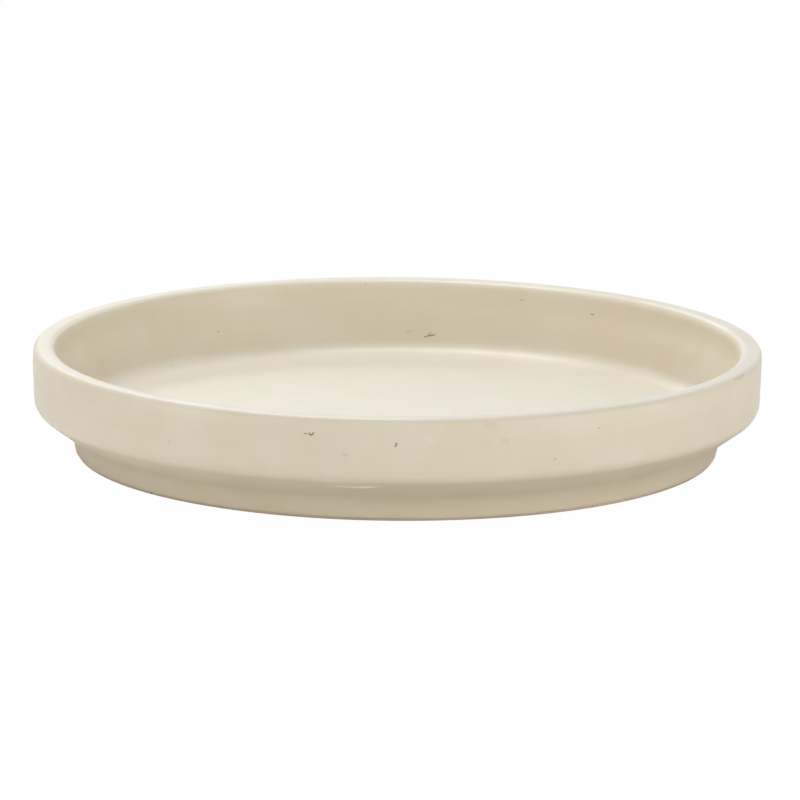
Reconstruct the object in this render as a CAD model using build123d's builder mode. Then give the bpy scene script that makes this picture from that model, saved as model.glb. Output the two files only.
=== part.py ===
from build123d import *

import os

# Plant saucer: a turned and fired clay body under one coat of cream glaze, in millimetres.
# +Z is up, and the origin is the middle of the ring that the saucer stands on.

# Finished saucer, measured over the glaze
outer_diameter = 250.0  # across the band
height = 37.0  # ground to lip
band_height = 20.5  # lower corner of the band, before its rounding, to lip
lip_width = 7.3  # roundings included
foot_top_diameter = 222.8  # where the foot turns out under the band
foot_bottom_diameter = 220.2  # where the foot meets the ground
foot_height = 6.8  # ground to where the foot turns out under the band
foot_wall = 2.4  # from the top of the foot in to the corner of the well
well_depth = 25.2  # lip to floor
wall_bend_diameter = 233.2  # where the wall of the well stands up steeper under the lip
wall_bend_height = 30.0  # ground to that bend

# Roundings, measured over the glaze
lip_outer_round = 1.8
lip_inner_round = 3.0
band_lower_round = 4.3
foot_corner_round = 8.0
wall_bend_round = 20.0
well_round = 7.0

# Dry clay underneath
foot_ring_width = 8.0  # the ring that touches the ground, roundings included
recess_depth = 2.5  # ground to the dry underside of the floor
foot_edge_round = 0.6
bare_band_height = 0.2  # dry clay between the rounding and the glaze

# Glaze coat
glaze_thickness = 0.4

# Overrun of the drawn section, past the axis and below the ground
overrun = 5.0

# Heights and radii that follow from the sizes above
band_bottom = height - band_height
floor_level = height - well_depth
outer_radius = outer_diameter / 2
lip_inner_radius = outer_radius - lip_width
foot_top_radius = foot_top_diameter / 2
foot_bottom_radius = foot_bottom_diameter / 2
foot_taper = (foot_top_radius - foot_bottom_radius) / foot_height
well_floor_radius = foot_top_radius - foot_wall
recess_radius = foot_bottom_radius - glaze_thickness - foot_ring_width
recess_round = recess_depth / 2
dry_edge_height = foot_edge_round + bare_band_height


def trim_section(lowest):
    """Keeps the part of the drawn section that is off the axis and above a height."""
    with Locations((0, lowest)):
        Rectangle(outer_diameter, height, align=(Align.MIN, Align.MIN), mode=Mode.INTERSECT)


# The finished section runs up the foot, out under the banded rim, round it and down into the well.
# It is drawn past the axis and below the ground, so that its inset copy can be trimmed there.
with BuildSketch(Plane.XZ) as finished_section:
    with BuildLine():
        FilletPolyline(
            (-overrun, -overrun),
            (foot_bottom_radius - foot_taper * overrun, -overrun),
            (foot_top_radius, foot_height),
            (outer_radius, band_bottom),
            (outer_radius, height),
            (lip_inner_radius, height),
            (wall_bend_diameter / 2, wall_bend_height),
            (well_floor_radius, floor_level),
            (-overrun, floor_level),
            radius=(
                0,
                0,
                foot_corner_round,
                band_lower_round,
                lip_outer_round,
                lip_inner_round,
                wall_bend_round,
                well_round,
                0,
            ),
            close=True,
        )
    make_face()

# The clay lies one glaze thickness inside the finished surface.
with BuildSketch(Plane.XZ) as clay_section:
    add(finished_section.sketch_local)
    offset(amount=-glaze_thickness, kind=Kind.INTERSECTION, mode=Mode.REPLACE)

# Clay body: turned from one lump, with a shallow recess that leaves a dry ring to stand on.
with BuildPart() as clay_body:
    with BuildSketch(Plane.XZ) as clay_outline:
        add(clay_section.sketch_local)
        trim_section(0)
        Rectangle(recess_radius, recess_depth, align=(Align.MIN, Align.MIN), mode=Mode.SUBTRACT)
        heights = clay_outline.vertices().group_by(Axis.Y)
        ring_corners = heights[0]
        recess_corner = heights[1].sort_by(Axis.X)[-1]
        fillet(ring_corners, radius=foot_edge_round)
        fillet(recess_corner, radius=recess_round)
    revolve(axis=Axis.Z)
clay_body.part.label = "clay_body"

# Glaze coat: covers the well, the lip, the band and the foot wall, down to the dry edge.
with BuildPart() as glaze_coat:
    with BuildSketch(Plane.XZ):
        add(finished_section.sketch_local)
        add(clay_section.sketch_local, mode=Mode.SUBTRACT)
        trim_section(dry_edge_height)
    revolve(axis=Axis.Z)
glaze_coat.part.label = "glaze_coat"

os.makedirs("parts", exist_ok=True)
export_step(clay_body.part, "parts/clay_body.step")
export_step(glaze_coat.part, "parts/glaze_coat.step")
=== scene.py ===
from math import atan2, cos, exp, hypot, pi, radians, sin
from random import Random

import bmesh
import bpy
from mathutils import Euler, Matrix, Vector
from mathutils.kdtree import KDTree


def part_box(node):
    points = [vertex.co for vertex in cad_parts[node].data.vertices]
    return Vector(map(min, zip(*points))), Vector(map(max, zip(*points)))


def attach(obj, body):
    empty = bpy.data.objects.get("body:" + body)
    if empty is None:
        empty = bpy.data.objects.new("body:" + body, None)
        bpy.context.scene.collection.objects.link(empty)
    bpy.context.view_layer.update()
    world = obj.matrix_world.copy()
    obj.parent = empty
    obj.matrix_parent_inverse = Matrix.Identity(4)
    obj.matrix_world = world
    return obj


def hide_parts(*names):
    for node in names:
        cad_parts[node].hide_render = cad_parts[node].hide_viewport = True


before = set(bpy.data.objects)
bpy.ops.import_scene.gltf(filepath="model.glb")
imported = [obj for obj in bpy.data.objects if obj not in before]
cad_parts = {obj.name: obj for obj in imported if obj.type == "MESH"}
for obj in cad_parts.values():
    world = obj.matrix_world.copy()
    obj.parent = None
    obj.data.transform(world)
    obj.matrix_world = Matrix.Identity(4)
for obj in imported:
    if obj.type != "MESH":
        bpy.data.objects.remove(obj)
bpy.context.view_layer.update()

# Camera. A long lens stands 1.75 m from the saucer, a little above its rim, and leans
# by half a degree, as the photograph does.
mm = 0.001
photo_width_px = 800
base_centre_px = (396.85, 447.85)
rim_radius_px = 362.3
camera_distance = 1.75
camera_elevation = radians(12.5)
camera_roll = radians(0.456)
sensor_width = 36.0

glaze_low, glaze_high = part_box("glaze_coat")
rim_radius = glaze_high.x
focal_px = rim_radius_px / rim_radius * camera_distance
camera_data = bpy.data.cameras.new("camera")
camera_data.sensor_width = sensor_width
camera_data.lens = focal_px * sensor_width / photo_width_px
camera = bpy.data.objects.new("camera", camera_data)
bpy.context.collection.objects.link(camera)
camera.location = (0, -camera_distance * cos(camera_elevation), camera_distance * sin(camera_elevation))
tilt_up = atan2(base_centre_px[1] - photo_width_px / 2, focal_px)
turn_right = atan2(photo_width_px / 2 - base_centre_px[0], focal_px)
aim = Euler((pi / 2 - camera_elevation + tilt_up, 0, -turn_right)).to_matrix()
camera_turn = aim @ Matrix.Rotation(camera_roll, 3, "Z")
camera.rotation_euler = camera_turn.to_euler()
bpy.context.scene.camera = camera

# Clay body. One lump of buff clay is turned on a wheel and fired: a flat well, a wall under a
# thick band, and a foot. Below the glaze it is dry, and the underside keeps the turning marks.
band_height = 20.5 * mm
lip_width = 7.3 * mm
foot_top_radius = 111.4 * mm
foot_bottom_radius = 110.1 * mm
foot_height = 6.8 * mm
foot_wall = 2.4 * mm
well_depth = 25.2 * mm
wall_bend_radius = 116.6 * mm
wall_bend_height = 30.0 * mm
lip_outer_round = 1.8 * mm
lip_inner_round = 3.0 * mm
band_lower_round = 4.3 * mm
foot_corner_round = 8.0 * mm
well_round = 7.0 * mm
wall_bend_round = 20.0 * mm
glaze_thickness = 0.4 * mm
foot_ring_width = 8.0 * mm
recess_depth = 2.5 * mm
recess_round = recess_depth / 2
foot_edge_round = 0.6 * mm

# How finely the pieces are divided: steps round the axis, steps in a rounding, and the
# widest row of faces on the walls and on the flat floor
turn_steps = 240
round_steps = 8
wall_row = 1.5 * mm
floor_row = 6.0 * mm
well_centre_radius = 5.0 * mm

lip_level = glaze_high.z
dry_edge = glaze_low.z
band_bottom = lip_level - band_height
floor_level = lip_level - well_depth
foot_lean = (foot_top_radius - foot_bottom_radius) / foot_height
dry_foot_radius = foot_bottom_radius - glaze_thickness

# Corners of the section from the middle of the well to the foot: radius, level and rounding
finished_section = (
    (well_centre_radius, floor_level, 0),
    (foot_top_radius - foot_wall, floor_level, well_round),
    (wall_bend_radius, wall_bend_height, wall_bend_round),
    (rim_radius - lip_width, lip_level, lip_inner_round),
    (rim_radius, lip_level, lip_outer_round),
    (rim_radius, band_bottom, band_lower_round),
    (foot_top_radius, foot_height, foot_corner_round),
    (foot_bottom_radius + foot_lean * dry_edge, dry_edge, 0),
)


def under_glaze(section, depth):
    """A section's corners moved in by a depth, with roundings that shrink or grow to match."""
    moved = []
    for number, (radius, level, rounding) in enumerate(section):
        here = Vector((radius, level))
        sides = []
        if number > 0:
            sides.append((here - Vector(section[number - 1][:2])).normalized())
        if number < len(section) - 1:
            sides.append((Vector(section[number + 1][:2]) - here).normalized())
        inward = sum((Vector((side.y, -side.x)) for side in sides), Vector((0, 0))).normalized()
        reach = depth / inward.dot(Vector((sides[0].y, -sides[0].x)))
        place = here + inward * reach
        hollow = len(sides) == 2 and sides[0].cross(sides[1]) > 0
        if rounding:
            rounding += depth if hollow else -depth
        moved.append((place.x, place.y, rounding))
    return moved


def place_in_section(vertex):
    return hypot(vertex.co.x, vertex.co.y), vertex.co.z


same_place = 0.001 * mm


def near(a, b):
    return abs(a[0] - b[0]) < same_place and abs(a[1] - b[1]) < same_place


def pick_edges(piece, wanted):
    """Selects the edges that wanted() says yes to, by the places of their ends, and counts them."""
    bpy.ops.mesh.select_mode(type="EDGE")
    bpy.ops.mesh.select_all(action="DESELECT")
    shape = bmesh.from_edit_mesh(piece.data)
    count = 0
    for edge in shape.edges:
        if wanted(place_in_section(edge.verts[0]), place_in_section(edge.verts[1])):
            edge.select_set(True)
            count += 1
    bmesh.update_edit_mesh(piece.data)
    return count


def turned_piece(name, section, closed):
    """A disc at the middle of the well that is drawn out ring by ring along the section."""
    bpy.ops.object.select_all(action="DESELECT")
    bpy.ops.mesh.primitive_circle_add(
        vertices=turn_steps, radius=section[0][0], fill_type="TRIFAN", location=(0, 0, section[0][1]))
    piece = bpy.context.object
    piece.name = name
    bpy.ops.object.transform_apply()
    bpy.ops.object.mode_set(mode="EDIT")
    pick_edges(piece, lambda a, b: near(a, section[0]) and near(b, section[0]))
    for last, this in zip(section, section[1:]):
        bpy.ops.mesh.extrude_region_move(TRANSFORM_OT_translate={"value": (0, 0, this[1] - last[1])})
        grow = this[0] / last[0]
        bpy.ops.transform.resize(value=(grow, grow, 1))
    if closed:
        bpy.ops.mesh.edge_face_add()
        bpy.ops.mesh.poke()
    for before, corner, after in zip(section, section[1:], section[2:]):
        arriving = Vector((corner[0] - before[0], corner[1] - before[1]))
        leaving = Vector((after[0] - corner[0], after[1] - corner[1]))
        half_turn = arriving.angle(leaving) / 2
        pick_edges(piece, lambda a, b: near(a, corner) and near(b, corner))
        setback = corner[2] * sin(half_turn) / cos(half_turn)
        bpy.ops.mesh.bevel(
            offset=setback, offset_type="OFFSET", segments=round_steps, profile=0.5, affect="EDGES")

    def too_long(a, b):
        along = hypot(a[0] - b[0], a[1] - b[1])
        on_floor = abs(a[1] - b[1]) < same_place and a[1] < band_bottom - wall_row
        in_centre = min(a[0], b[0]) < 0.5 * well_centre_radius
        return along > (floor_row if on_floor else wall_row) and not in_centre

    while pick_edges(piece, too_long):
        bpy.ops.mesh.subdivide(number_cuts=1, smoothness=0)
    bpy.ops.mesh.select_all(action="SELECT")
    bpy.ops.mesh.normals_make_consistent(inside=False)
    bpy.ops.object.mode_set(mode="OBJECT")
    return piece


# How far the real saucer is from true. The phases and shares of its waves are given.
oval = 0.25 * mm
lip_dip = 0.18 * mm
foot_shift = 0.27 * mm
band_lean = 0.48 * mm
turning_ridge = 0.05 * mm
ridge_pitch = 4.2 * mm
crease_level = 31.3 * mm
crease_lean = 0.42 * mm
crease_side = radians(-140)


def unevenness(place):
    """How far a point of the true shape moves in the real one, which no hand turns quite true."""
    radius, turn, height = hypot(place.x, place.y), atan2(place.y, place.x), place.z
    if radius <= mm:
        return Vector()
    share_up = height / lip_level
    out = -oval * share_up * (0.5 - 0.5 * cos(2 * turn + 0.6))
    down = lip_dip * share_up ** 3 * (0.5 + 0.3 * sin(turn + 2.1) + 0.2 * sin(3 * turn))
    if radius > rim_radius - lip_width and height > band_bottom:
        swell = sin(2 * pi * height / ridge_pitch + turn + 0.8 * sin(2 * turn))
        out -= turning_ridge * (0.5 + 0.5 * swell)
    if radius > rim_radius - lip_width and height > crease_level:
        strongest = 0.5 + 0.5 * cos(turn - crease_side)
        out -= crease_lean * strongest * (height - crease_level) / (lip_level - crease_level)
    if radius > foot_top_radius and height < crease_level:
        toward_rim = (radius - foot_top_radius) / (rim_radius - foot_top_radius)
        out -= band_lean * toward_rim * (crease_level - height) / (crease_level - band_bottom)
    sideways = -foot_shift * max(0, 1 - height / band_bottom)
    return Vector((place.x / radius * out + sideways, place.y / radius * out, -down))


def hand_finish(piece):
    for vertex in piece.data.vertices:
        vertex.co += unevenness(vertex.co)


clay_section = under_glaze(finished_section, glaze_thickness)[:-1] + [
    (dry_foot_radius, 0, foot_edge_round),
    (dry_foot_radius - foot_ring_width, 0, foot_edge_round),
    (dry_foot_radius - foot_ring_width, recess_depth, recess_round),
    (well_centre_radius, recess_depth, 0),
]
clay = turned_piece("clay", clay_section, closed=True)
hand_finish(clay)
bpy.ops.object.shade_smooth()


def add_node(tree, kind, inputs=None, **settings):
    """A shader node with its settings made. Each input is a value or a socket to join to."""
    node = tree.nodes.new("ShaderNode" + kind)
    for name, value in settings.items():
        setattr(node, name, value)
    for name, given in (inputs or {}).items():
        if isinstance(name, int):
            socket = node.inputs[name]
        else:
            socket = next(socket for socket in node.inputs if socket.name == name and socket.enabled)
        if isinstance(given, bpy.types.NodeSocket):
            tree.links.new(given, socket)
        else:
            socket.default_value = given
    return node


def out_of(node):
    return next(socket for socket in node.outputs if socket.enabled)


def mix_colours(tree, first, second, share, blend="MIX"):
    inputs = {"Factor": share, "A": first, "B": second}
    return out_of(add_node(tree, "Mix", inputs, data_type="RGBA", blend_type=blend))


def spread(tree, value, low, high, to_low=0.0, to_high=1.0):
    """A value stretched from one range to another, and held inside it."""
    inputs = {"Value": value, "From Min": low, "From Max": high, "To Min": to_low, "To Max": to_high}
    return out_of(add_node(tree, "MapRange", inputs))


def new_group(name, inputs, output):
    """An empty node group with a place, some numbers and one value coming out."""
    tree = bpy.data.node_groups.new(name, "ShaderNodeTree")
    tree.interface.new_socket("Place", in_out="INPUT", socket_type="NodeSocketVector")
    for socket_name in inputs:
        tree.interface.new_socket(socket_name, in_out="INPUT", socket_type="NodeSocketFloat")
    tree.interface.new_socket(output, in_out="OUTPUT", socket_type="NodeSocketFloat")
    given = tree.nodes.new("NodeGroupInput").outputs
    result = tree.nodes.new("NodeGroupOutput").inputs[0]
    return tree, given, result


# Faint streaks around the axis, which the wheel leaves in clay and in a glaze poured on it.
wheel_marks, given, result = new_group("wheel_marks", ["Streaks Per Metre"], "Streak")
apart = add_node(wheel_marks, "SeparateXYZ", {0: given["Place"]})
flat = add_node(wheel_marks, "CombineXYZ", {"X": apart.outputs["X"], "Y": apart.outputs["Y"]})
from_axis = add_node(wheel_marks, "VectorMath", {0: out_of(flat)}, operation="LENGTH")
change_along_share = 0.04
along = add_node(wheel_marks, "Math", {0: apart.outputs["X"], 1: change_along_share}, operation="MULTIPLY")
wound = add_node(wheel_marks, "CombineXYZ", {
    "X": from_axis.outputs["Value"], "Y": out_of(along), "Z": apart.outputs["Z"]})
noise = {"Vector": out_of(wound), "Scale": given["Streaks Per Metre"], "Detail": 3.0, "Roughness": 0.6}
wheel_marks.links.new(out_of(add_node(wheel_marks, "TexNoise", noise)), result)

# Round specks of iron in the clay, which also burn through a glaze. Most cells have none.
iron_specks, given, result = new_group("iron_specks", ["Cells Per Metre", "Share"], "Speck")
cells = add_node(iron_specks, "TexVoronoi", {
    "Vector": given["Place"], "Scale": given["Cells Per Metre"]}).outputs
speck_edge, speck_heart = 0.26, 0.10
spot = spread(iron_specks, cells["Distance"], speck_edge, speck_heart)
draw = add_node(iron_specks, "SeparateColor", {0: cells["Color"]}).outputs["Red"]
chosen = out_of(add_node(iron_specks, "Math", {0: draw, 1: given["Share"]}, operation="LESS_THAN"))
speck = out_of(add_node(iron_specks, "Math", {0: spot, 1: chosen}, operation="MULTIPLY"))
iron_specks.links.new(speck, result)


def new_material(name):
    material = bpy.data.materials.new(name)
    material.use_nodes = True
    return material, material.node_tree, material.node_tree.nodes["Principled BSDF"].inputs


fired_clay, tree, shader = new_material("fired_clay")
shader["Roughness"].default_value = 0.9
shader["Specular IOR Level"].default_value = 0.25
place = add_node(tree, "TexCoord").outputs["Object"]
streak = out_of(add_node(
    tree, "Group", {"Place": place, "Streaks Per Metre": 700.0}, node_tree=wheel_marks))
speck = out_of(add_node(
    tree, "Group", {"Place": place, "Cells Per Metre": 420.0, "Share": 0.16}, node_tree=iron_specks))
dark_buff = (0.47, 0.37, 0.26, 1)
pale_buff = (0.61, 0.51, 0.38, 1)
iron_brown = (0.20, 0.13, 0.08, 1)
buff = mix_colours(tree, dark_buff, pale_buff, spread(tree, streak, 0.3, 0.7))
tree.links.new(mix_colours(tree, buff, iron_brown, speck), shader["Base Color"])
grit_depth = 0.08 * mm
grains_per_metre = 1400.0
grit = add_node(tree, "TexNoise", {"Vector": place, "Scale": grains_per_metre, "Detail": 3.0})
height = add_node(tree, "Math", {0: out_of(grit), 1: streak}, operation="MULTIPLY")
bump = add_node(tree, "Bump", {"Height": out_of(height), "Distance": grit_depth})
tree.links.new(out_of(bump), shader["Normal"])
clay.data.materials.append(fired_clay)
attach(clay, "root")
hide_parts("clay_body")

# Glaze coat. Cream satin glaze is poured and brushed over the clay and fired to a glass skin,
# 0.4 mm thick, that ends in a rolled edge above the ground. It has pinholes, scratches and specks.
glaze = turned_piece("glaze", finished_section, closed=False)
skin = glaze.modifiers.new("skin", "SOLIDIFY")
skin.thickness = glaze_thickness
skin.offset = -1
skin.use_even_offset = True
bpy.ops.object.modifier_apply(modifier="skin")

rolled_edge = 0.6 * glaze_thickness
dry_corner = finished_section[-1]
bpy.ops.object.mode_set(mode="EDIT")
pick_edges(glaze, lambda a, b: near(a, dry_corner) and near(b, dry_corner))
bpy.ops.mesh.bevel(
    offset=rolled_edge, offset_type="OFFSET", segments=round_steps // 2, profile=0.5, affect="EDGES")
bpy.ops.object.mode_set(mode="OBJECT")

# The glaze's lower edge wanders up and down in three waves, whose shares are given.
edge_wander = 0.35 * mm
for vertex in glaze.data.vertices:
    turn = atan2(vertex.co.y, vertex.co.x)
    low = exp(-(vertex.co.z - dry_edge) / wall_row)
    wander = 0.5 + 0.22 * sin(7 * turn + 1) + 0.16 * sin(19 * turn) + 0.12 * sin(41 * turn + 2)
    if vertex.co.z < foot_height:
        vertex.co.z += edge_wander * wander * low
hand_finish(glaze)


def ray_through(px):
    across = (px[0] - photo_width_px / 2) / focal_px
    up = (photo_width_px / 2 - px[1]) / focal_px
    return camera_turn @ Vector((across, up, -1))


def seen_at(px):
    """Where the glaze lies at a pixel of the photograph, and which way it faces there."""
    hit, place, facing, face = glaze.ray_cast(camera.location, ray_through(px).normalized())
    assert hit, f"no glaze at {px}"
    return place, facing


# Each mark: its line in photo pixels, its width and depth, its colour and how strongly it shows.
# A negative depth stands proud of the glaze.
burnt = (0.085, 0.060, 0.030)
grey_green = (0.19, 0.18, 0.11)
# Milky paints pale spots in the glaze. On the blister and the bead it is a painted highlight.
milky_and_highlight = (0.90, 0.88, 0.80)
marks = {
    "dash_under_lip": ([(304.2, 433.4), (306.8, 433.6)], 0.45 * mm, 0.10 * mm, burnt, 0.55),
    "hook_under_lip": (
        [(309.0, 433.3), (309.9, 434.7), (311.3, 435.1), (312.7, 434.1), (313.4, 432.8)],
        0.42 * mm, 0.16 * mm, burnt, 0.95),
    "slanted_pit": ([(395.5, 446.4), (396.6, 443.7)], 0.60 * mm, 0.20 * mm, grey_green, 0.85),
    "thumb_smudge": ([(344.4, 454.6), (347.2, 455.0)], 1.10 * mm, 0.03 * mm, grey_green, 0.18),
    "pinhole_on_band_right": ([(599.3, 428.3)], 0.45 * mm, 0.12 * mm, burnt, 0.8),
    "pinhole_low_on_band": ([(555.0, 459.0)], 0.65 * mm, 0.12 * mm, grey_green, 0.6),
    "pinhole_on_foot": ([(130.7, 469.5)], 0.50 * mm, 0.10 * mm, grey_green, 0.6),
    "pale_spot": ([(429.0, 439.5), (431.0, 440.5)], 2.00 * mm, 0, milky_and_highlight, 0.13),
    "pale_blister": ([(453.4, 473.6), (457.6, 472.7)], 0.60 * mm, -0.10 * mm, milky_and_highlight, 0.18),
    # The dent on the lip is shallow, and its grey-green is painted shade in its hollow, darkest at one end
    # and in the middle.
    "dented_lip": ([(736.0, 379.0), (744.0, 375.4)], 1.10 * mm, 0.16 * mm, grey_green, 0.16),
    "dent_end": ([(735.2, 379.8)], 0.50 * mm, 0.06 * mm, grey_green, 0.5),
    "dent_middle": ([(741.2, 378.2)], 0.45 * mm, 0.05 * mm, grey_green, 0.35),
    "long_scratch": ([(424.6, 337.2), (428.4, 335.9), (433.0, 335.2)], 0.42 * mm, 0.12 * mm, burnt, 0.8),
    "scratch_above": ([(428.4, 334.4), (430.8, 333.3)], 0.38 * mm, 0.10 * mm, burnt, 0.55),
    "scratch_beyond": ([(431.4, 336.0), (435.2, 334.5)], 0.38 * mm, 0.08 * mm, burnt, 0.55),
    "dash_on_wall_right": ([(590.9, 314.3), (593.6, 314.8)], 0.40 * mm, 0.08 * mm, burnt, 0.7),
    "dot_on_wall_left": ([(217.8, 331.4), (219.0, 331.8)], 0.42 * mm, 0.08 * mm, burnt, 0.6),
    "nick_inside_lip": ([(365.8, 284.1)], 0.50 * mm, 0.10 * mm, grey_green, 0.6),
    "faint_scuff": ([(406.0, 331.8), (411.0, 331.2)], 0.60 * mm, 0.03 * mm, grey_green, 0.25),
    "faint_dash": ([(520.0, 300.2), (524.0, 299.6)], 0.50 * mm, 0.04 * mm, grey_green, 0.35),
    "dot_above_well": ([(209.4, 354.4)], 0.45 * mm, 0.05 * mm, grey_green, 0.5),
    "dot_by_well": ([(171.8, 364.6)], 0.60 * mm, 0.04 * mm, grey_green, 0.3),
    "dot_left_of_well": ([(83.0, 366.0)], 0.50 * mm, 0.05 * mm, grey_green, 0.4),
    "nick_on_lip_left": ([(77.4, 373.6)], 0.50 * mm, 0.08 * mm, grey_green, 0.5),
    "nick_on_lip_front": ([(181.0, 399.6)], 0.50 * mm, 0.08 * mm, grey_green, 0.5),
    "dot_in_well": ([(388.7, 357.0)], 0.55 * mm, 0.06 * mm, grey_green, 0.5),
    "dot_in_well_right": ([(456.7, 365.4)], 0.50 * mm, 0.05 * mm, grey_green, 0.4),
    "dot_in_well_front": ([(294.0, 392.0)], 0.55 * mm, 0.05 * mm, grey_green, 0.35),
    # The glaze bead along the band's lower edge stands proud, and its milky colour is a painted highlight
    # along it.
    "bead_on_band_edge": (
        [(328.0, 486.3), (344.0, 486.9), (358.0, 487.1), (372.0, 487.0), (383.0, 486.5)],
        0.60 * mm, -0.10 * mm, milky_and_highlight, 0.06),
    "bead_middle": (
        [(338.0, 486.6), (350.0, 487.0), (362.0, 487.1), (376.0, 486.8)],
        0.90 * mm, -0.14 * mm, milky_and_highlight, 0.10),
    "bead_peak": ([(354.0, 487.0), (362.0, 487.1), (370.0, 487.0)], 1.00 * mm, -0.16 * mm, milky_and_highlight, 0.22),
    "dull_patch": ([(487.0, 424.5), (494.0, 426.0)], 2.40 * mm, 0, grey_green, 0.08),
    "dull_patch_right": ([(503.0, 440.0), (507.0, 441.0)], 1.80 * mm, 0, grey_green, 0.08),
}
drawn = []
for line_px, width, depth, colour, strength in marks.values():
    seen = [seen_at(px) for px in line_px]
    drawn.append(([place for place, facing in seen], seen[0][1], width, depth, colour, strength))

# The photograph doesn't show the far side of the band, the near side of the well or the rest
# of the foot, which get a few marks of the same kinds.
chance = Random(11)
unseen_marks = 16
near_side_degrees = (235, 305)
far_side_degrees = (15, 165)
unseen_up_shares = (0.35, 0.85)
unseen_slant_shares = (-0.8, 0.8)
unseen_lengths_mm = (0, 0, 0.8, 1.6)
unseen_widths_mm = (0.38, 0.6)
unseen_strengths = (0.35, 0.8)
unseen_depth_share = 0.25
for number in range(unseen_marks):
    in_well = number % 4 == 3
    on_foot = number % 4 == 2
    turn = radians(chance.uniform(*(near_side_degrees if in_well else far_side_degrees)))
    height = chance.uniform(*unseen_up_shares) * (lip_level - floor_level) + floor_level
    if on_foot:
        height = band_bottom / 2
    away = Vector((cos(turn), sin(turn), 0))
    start = Vector((0, 0, height)) + away * (0 if in_well else 2 * rim_radius)
    hit, place, facing, face = glaze.ray_cast(start, away if in_well else -away)
    along = Vector((-sin(turn), cos(turn), chance.uniform(*unseen_slant_shares))).normalized()
    line = [place, place + along * chance.choice(unseen_lengths_mm) * mm]
    width = chance.uniform(*unseen_widths_mm) * mm
    strength = chance.uniform(*unseen_strengths)
    colour = chance.choice((burnt, grey_green))
    drawn.append((line, facing, width, unseen_depth_share * width, colour, strength))

# Each mark's line is turned into points, by which the glaze around it is found.
point_step = 0.12 * mm
points = []
for number, (line, facing, width, depth, colour, strength) in enumerate(drawn):
    for a, b in zip(line, line[1:] or line):
        steps = 1 + int((a - b).length / point_step)
        points += [(a.lerp(b, step / steps), number) for step in range(steps + 1)]
near_marks = KDTree(len(points))
for number, (place, mark) in enumerate(points):
    near_marks.insert(place, number)
near_marks.balance()


# A mark stays on the side of the glaze that faces its way.
same_side_cosine = 0.3


def cut_finer(margin, widths, cuts):
    """Cuts the glaze's faces into smaller ones, up to some mark widths and a margin from a mark."""
    bpy.ops.mesh.select_mode(type="FACE")
    bpy.ops.mesh.select_all(action="DESELECT")
    shape = bmesh.from_edit_mesh(glaze.data)
    for face in shape.faces:
        nearest, number, distance = near_marks.find(face.calc_center_median())
        line, facing, width, depth, colour, strength = drawn[points[number][1]]
        half_size = max(edge.calc_length() for edge in face.edges) / 2
        close = distance < margin + widths * width + half_size
        if close and face.normal.dot(facing) > same_side_cosine:
            face.select_set(True)
    bmesh.update_edit_mesh(glaze.data)
    bpy.ops.mesh.subdivide(number_cuts=cuts, smoothness=1.0)


bpy.ops.object.mode_set(mode="EDIT")
cut_finer(margin=0.3 * mm, widths=1.7, cuts=3)
cut_finer(margin=0.1 * mm, widths=1.4, cuts=2)
bpy.ops.object.mode_set(mode="OBJECT")

# Each mark is a smooth pit with a low ring around it, and a patch of its colour in the pit.
# Places in it are counted in half widths of the mark.
mark_reach = 6 * mm
ring_height_share = 0.22
ring_place, ring_width = 1.9, 0.6
colour_width = 1.05

glaze.data.attributes.new("mark_colour", "FLOAT_COLOR", "POINT")
glaze.data.attributes.new("pooled_and_sheen", "FLOAT", "POINT")
mark_colour = glaze.data.attributes["mark_colour"].data
pooled_and_sheen = glaze.data.attributes["pooled_and_sheen"].data
facing_of = [vertex.normal.copy() for vertex in glaze.data.vertices]
for vertex in glaze.data.vertices:
    # How far each point faces up. It pales the glaze, partly for pooling and partly as a painted sheen.
    pooled_and_sheen[vertex.index].value = max(0, facing_of[vertex.index].z)
    closest = {}
    for place, number, distance in near_marks.find_range(vertex.co, mark_reach):
        mark = points[number][1]
        closest[mark] = min(distance, closest.get(mark, distance))
    sunk, colour_seen, strongest = 0, (0, 0, 0), 0
    for mark, distance in closest.items():
        line, facing, width, depth, colour, strength = drawn[mark]
        if facing_of[vertex.index].dot(facing) < same_side_cosine:
            continue
        off = distance / (width / 2)
        ring = ring_height_share * exp(-((off - ring_place) / ring_width) ** 2)
        sunk += depth * (exp(-off ** 2) - ring)
        shown = strength * exp(-(off / colour_width) ** 4)
        if shown > strongest:
            colour_seen, strongest = colour, shown
    mark_colour[vertex.index].color = (*colour_seen, strongest)
    if sunk:
        vertex.co -= facing_of[vertex.index] * sunk

bpy.ops.object.shade_smooth_by_angle(angle=radians(60))

# The glaze is darker where it is thin on a wall and paler and whiter where it faces up. That is partly
# glaze pooled on level faces and partly a painted sheen, strongest on the well floor.
cream_glaze, tree, shader = new_material("cream_glaze")
shader["IOR"].default_value = 1.5
place = add_node(tree, "TexCoord").outputs["Object"]
thin_cream = (0.722, 0.650, 0.512, 1)
thick_and_sheen_in_well = (0.785, 0.752, 0.655, 1)
thick_and_sheen_on_lip = (0.684, 0.650, 0.557, 1)
pool_and_sheen = add_node(tree, "Attribute", attribute_name="pooled_and_sheen").outputs["Fac"]
level = add_node(tree, "SeparateXYZ", {0: place}).outputs["Z"]
thick_and_sheen_cream = mix_colours(tree, thick_and_sheen_in_well, thick_and_sheen_on_lip, spread(tree, level, floor_level, lip_level))
colour = mix_colours(tree, thin_cream, thick_and_sheen_cream, spread(tree, pool_and_sheen, 0.4, 1.0))
# Towards the foot, under the band, the colour is darkened and yellowed: painted shade.
foot_shade_tint = (0.935, 0.926, 0.905, 1)
toward_foot_shade = spread(tree, level, band_bottom, foot_height)
colour = mix_colours(tree, colour, foot_shade_tint, toward_foot_shade, "MULTIPLY")

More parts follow.
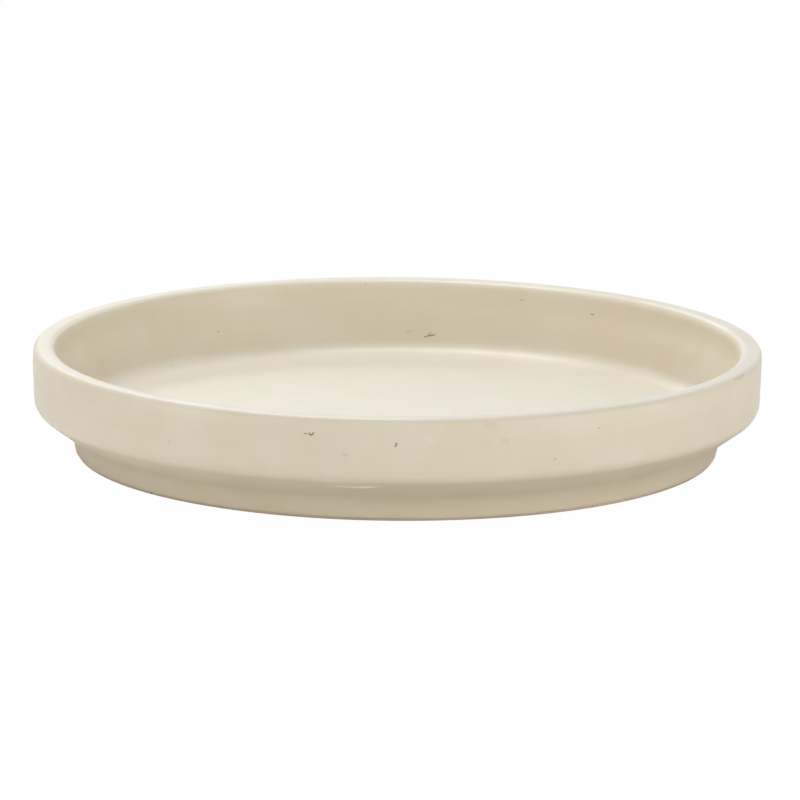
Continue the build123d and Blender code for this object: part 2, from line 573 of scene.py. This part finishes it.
# Two sets of soft clouds tint it pinkish and greenish.
pinkish = (0.998, 0.958, 0.956, 1)
greenish = (0.970, 0.985, 0.935, 1)
pink_clouds_per_metre = 42.0
green_clouds_per_metre = 55.0
cloud = out_of(add_node(tree, "TexNoise", {
    "Vector": place, "Scale": pink_clouds_per_metre, "Detail": 3.0, "Roughness": 0.55}))
moved = out_of(add_node(tree, "Mapping", {"Vector": place, "Location": (3.1, 1.7, 0.4)}))
other_cloud = out_of(add_node(tree, "TexNoise", {
    "Vector": moved, "Scale": green_clouds_per_metre, "Detail": 3.0, "Roughness": 0.55}))
colour = mix_colours(tree, colour, pinkish, spread(tree, cloud, 0.35, 0.65), "MULTIPLY")
colour = mix_colours(tree, colour, greenish, spread(tree, other_cloud, 0.40, 0.70), "MULTIPLY")

# Then come the wheel's streaks, a few faint iron specks, and the marks.
dulled = (0.980, 0.977, 0.970, 1)
faint_iron = (0.46, 0.38, 0.25, 1)
faint_iron_strength = 0.35
streak = out_of(add_node(
    tree, "Group", {"Place": place, "Streaks Per Metre": 260.0}, node_tree=wheel_marks))
colour = mix_colours(tree, colour, dulled, spread(tree, streak, 0.7, 0.3), "MULTIPLY")
speck = out_of(add_node(
    tree, "Group", {"Place": place, "Cells Per Metre": 500.0, "Share": 0.003}, node_tree=iron_specks))
faint_speck = spread(tree, speck, 0.0, 1.0, 0.0, faint_iron_strength)
colour = mix_colours(tree, colour, faint_iron, faint_speck)
mark = add_node(tree, "Attribute", attribute_name="mark_colour").outputs
colour = mix_colours(tree, colour, mark["Color"], mark["Alpha"])
tree.links.new(colour, shader["Base Color"])

# Its satin is a little uneven, and its surface has a fine ripple like orange peel.
glossiest, dullest = 0.37, 0.45
ripple_depth = 0.012 * mm
ripples_per_metre = 420.0
tree.links.new(spread(tree, cloud, 0.3, 0.7, glossiest, dullest), shader["Roughness"])
orange_peel = add_node(tree, "TexNoise", {"Vector": place, "Scale": ripples_per_metre, "Detail": 2.0})
bump = add_node(tree, "Bump", {"Height": out_of(orange_peel), "Distance": ripple_depth})
tree.links.new(out_of(bump), shader["Normal"])
glaze.data.materials.append(cream_glaze)
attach(glaze, "root")
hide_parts("glaze_coat")

# White table. It runs off to a white horizon. The camera sees it glow white, as the ground of
# the photograph is, with only a trace of the saucer's soft shadow. The saucer sees it matt.
table_width = 8.0
bpy.ops.mesh.primitive_plane_add(size=table_width)
table = bpy.context.object
table.name = "white_table"
table_white, tree, shader = new_material("white_table")
matt_white = (0.9, 0.9, 0.9, 1)
glow_share = 0.985
shader["Base Color"].default_value = matt_white
shader["Roughness"].default_value = 0.9
shader["Specular IOR Level"].default_value = 0
path = add_node(tree, "LightPath").outputs
seen = out_of(add_node(tree, "Math", {0: path["Is Camera Ray"], 1: glow_share}, operation="MULTIPLY"))
glow = out_of(add_node(tree, "Emission"))
matt = tree.nodes["Principled BSDF"].outputs[0]
shown = out_of(add_node(tree, "MixShader", {0: seen, 1: matt, 2: glow}))
tree.links.new(shown, tree.nodes["Material Output"].inputs["Surface"])
table.data.materials.append(table_white)

# Room and lamps. A white room with the key soft box high up behind the saucer, weaker ones to
# the left, in front and to the right, a strip and a small soft box further behind, and a strip
# low down at either side. Places and sizes are in metres and powers in watts.
room_light = 0.25
world = bpy.data.worlds.new("white_room")
bpy.context.scene.world = world
world.use_nodes = True
tree = world.node_tree
path = add_node(tree, "LightPath").outputs
looked_at = path["Is Camera Ray"]
for ray in ("Is Glossy Ray", "Is Transmission Ray"):
    looked_at = out_of(add_node(tree, "Math", {0: looked_at, 1: path[ray]}, operation="MAXIMUM"))
room = tree.nodes["Background"].inputs
room["Color"].default_value = (1, 1, 1, 1)
tree.links.new(spread(tree, looked_at, 0.0, 1.0, room_light, 1.0), room["Strength"])


def soft_box(name, location, size, power):
    lamp_data = bpy.data.lights.new(name, "AREA")
    lamp_data.shape = "RECTANGLE"
    lamp_data.size, lamp_data.size_y = size
    lamp_data.energy = power
    lamp = bpy.data.objects.new(name, lamp_data)
    bpy.context.collection.objects.link(lamp)
    lamp.location = location
    lamp.rotation_euler = (-Vector(location)).to_track_quat("-Z", "Y").to_euler()


soft_box("key_soft_box", (-0.22, 0.45, 1.3), (0.7, 0.5), 10.4)
soft_box("left_soft_box", (-1.1, 0, 1.0), (0.6, 0.5), 1.6)
soft_box("front_soft_box", (0, -1.5, 0.6), (1.6, 0.8), 6.3)
soft_box("front_right_soft_box", (1.3, -1.1, 0.9), (0.8, 0.6), 3.8)
soft_box("back_strip", (0, 1.5, 0.7), (1.6, 0.5), 1.1)
soft_box("back_left_soft_box", (-0.35, 1.2, 0.8), (0.5, 0.3), 2.5)
soft_box("low_left_strip", (-1.1, -0.5, 0.1), (0.8, 0.15), 2.4)
soft_box("low_right_strip", (1.1, -0.5, 0.1), (0.8, 0.15), 3.0)

bpy.context.scene.view_settings.view_transform = "Standard"
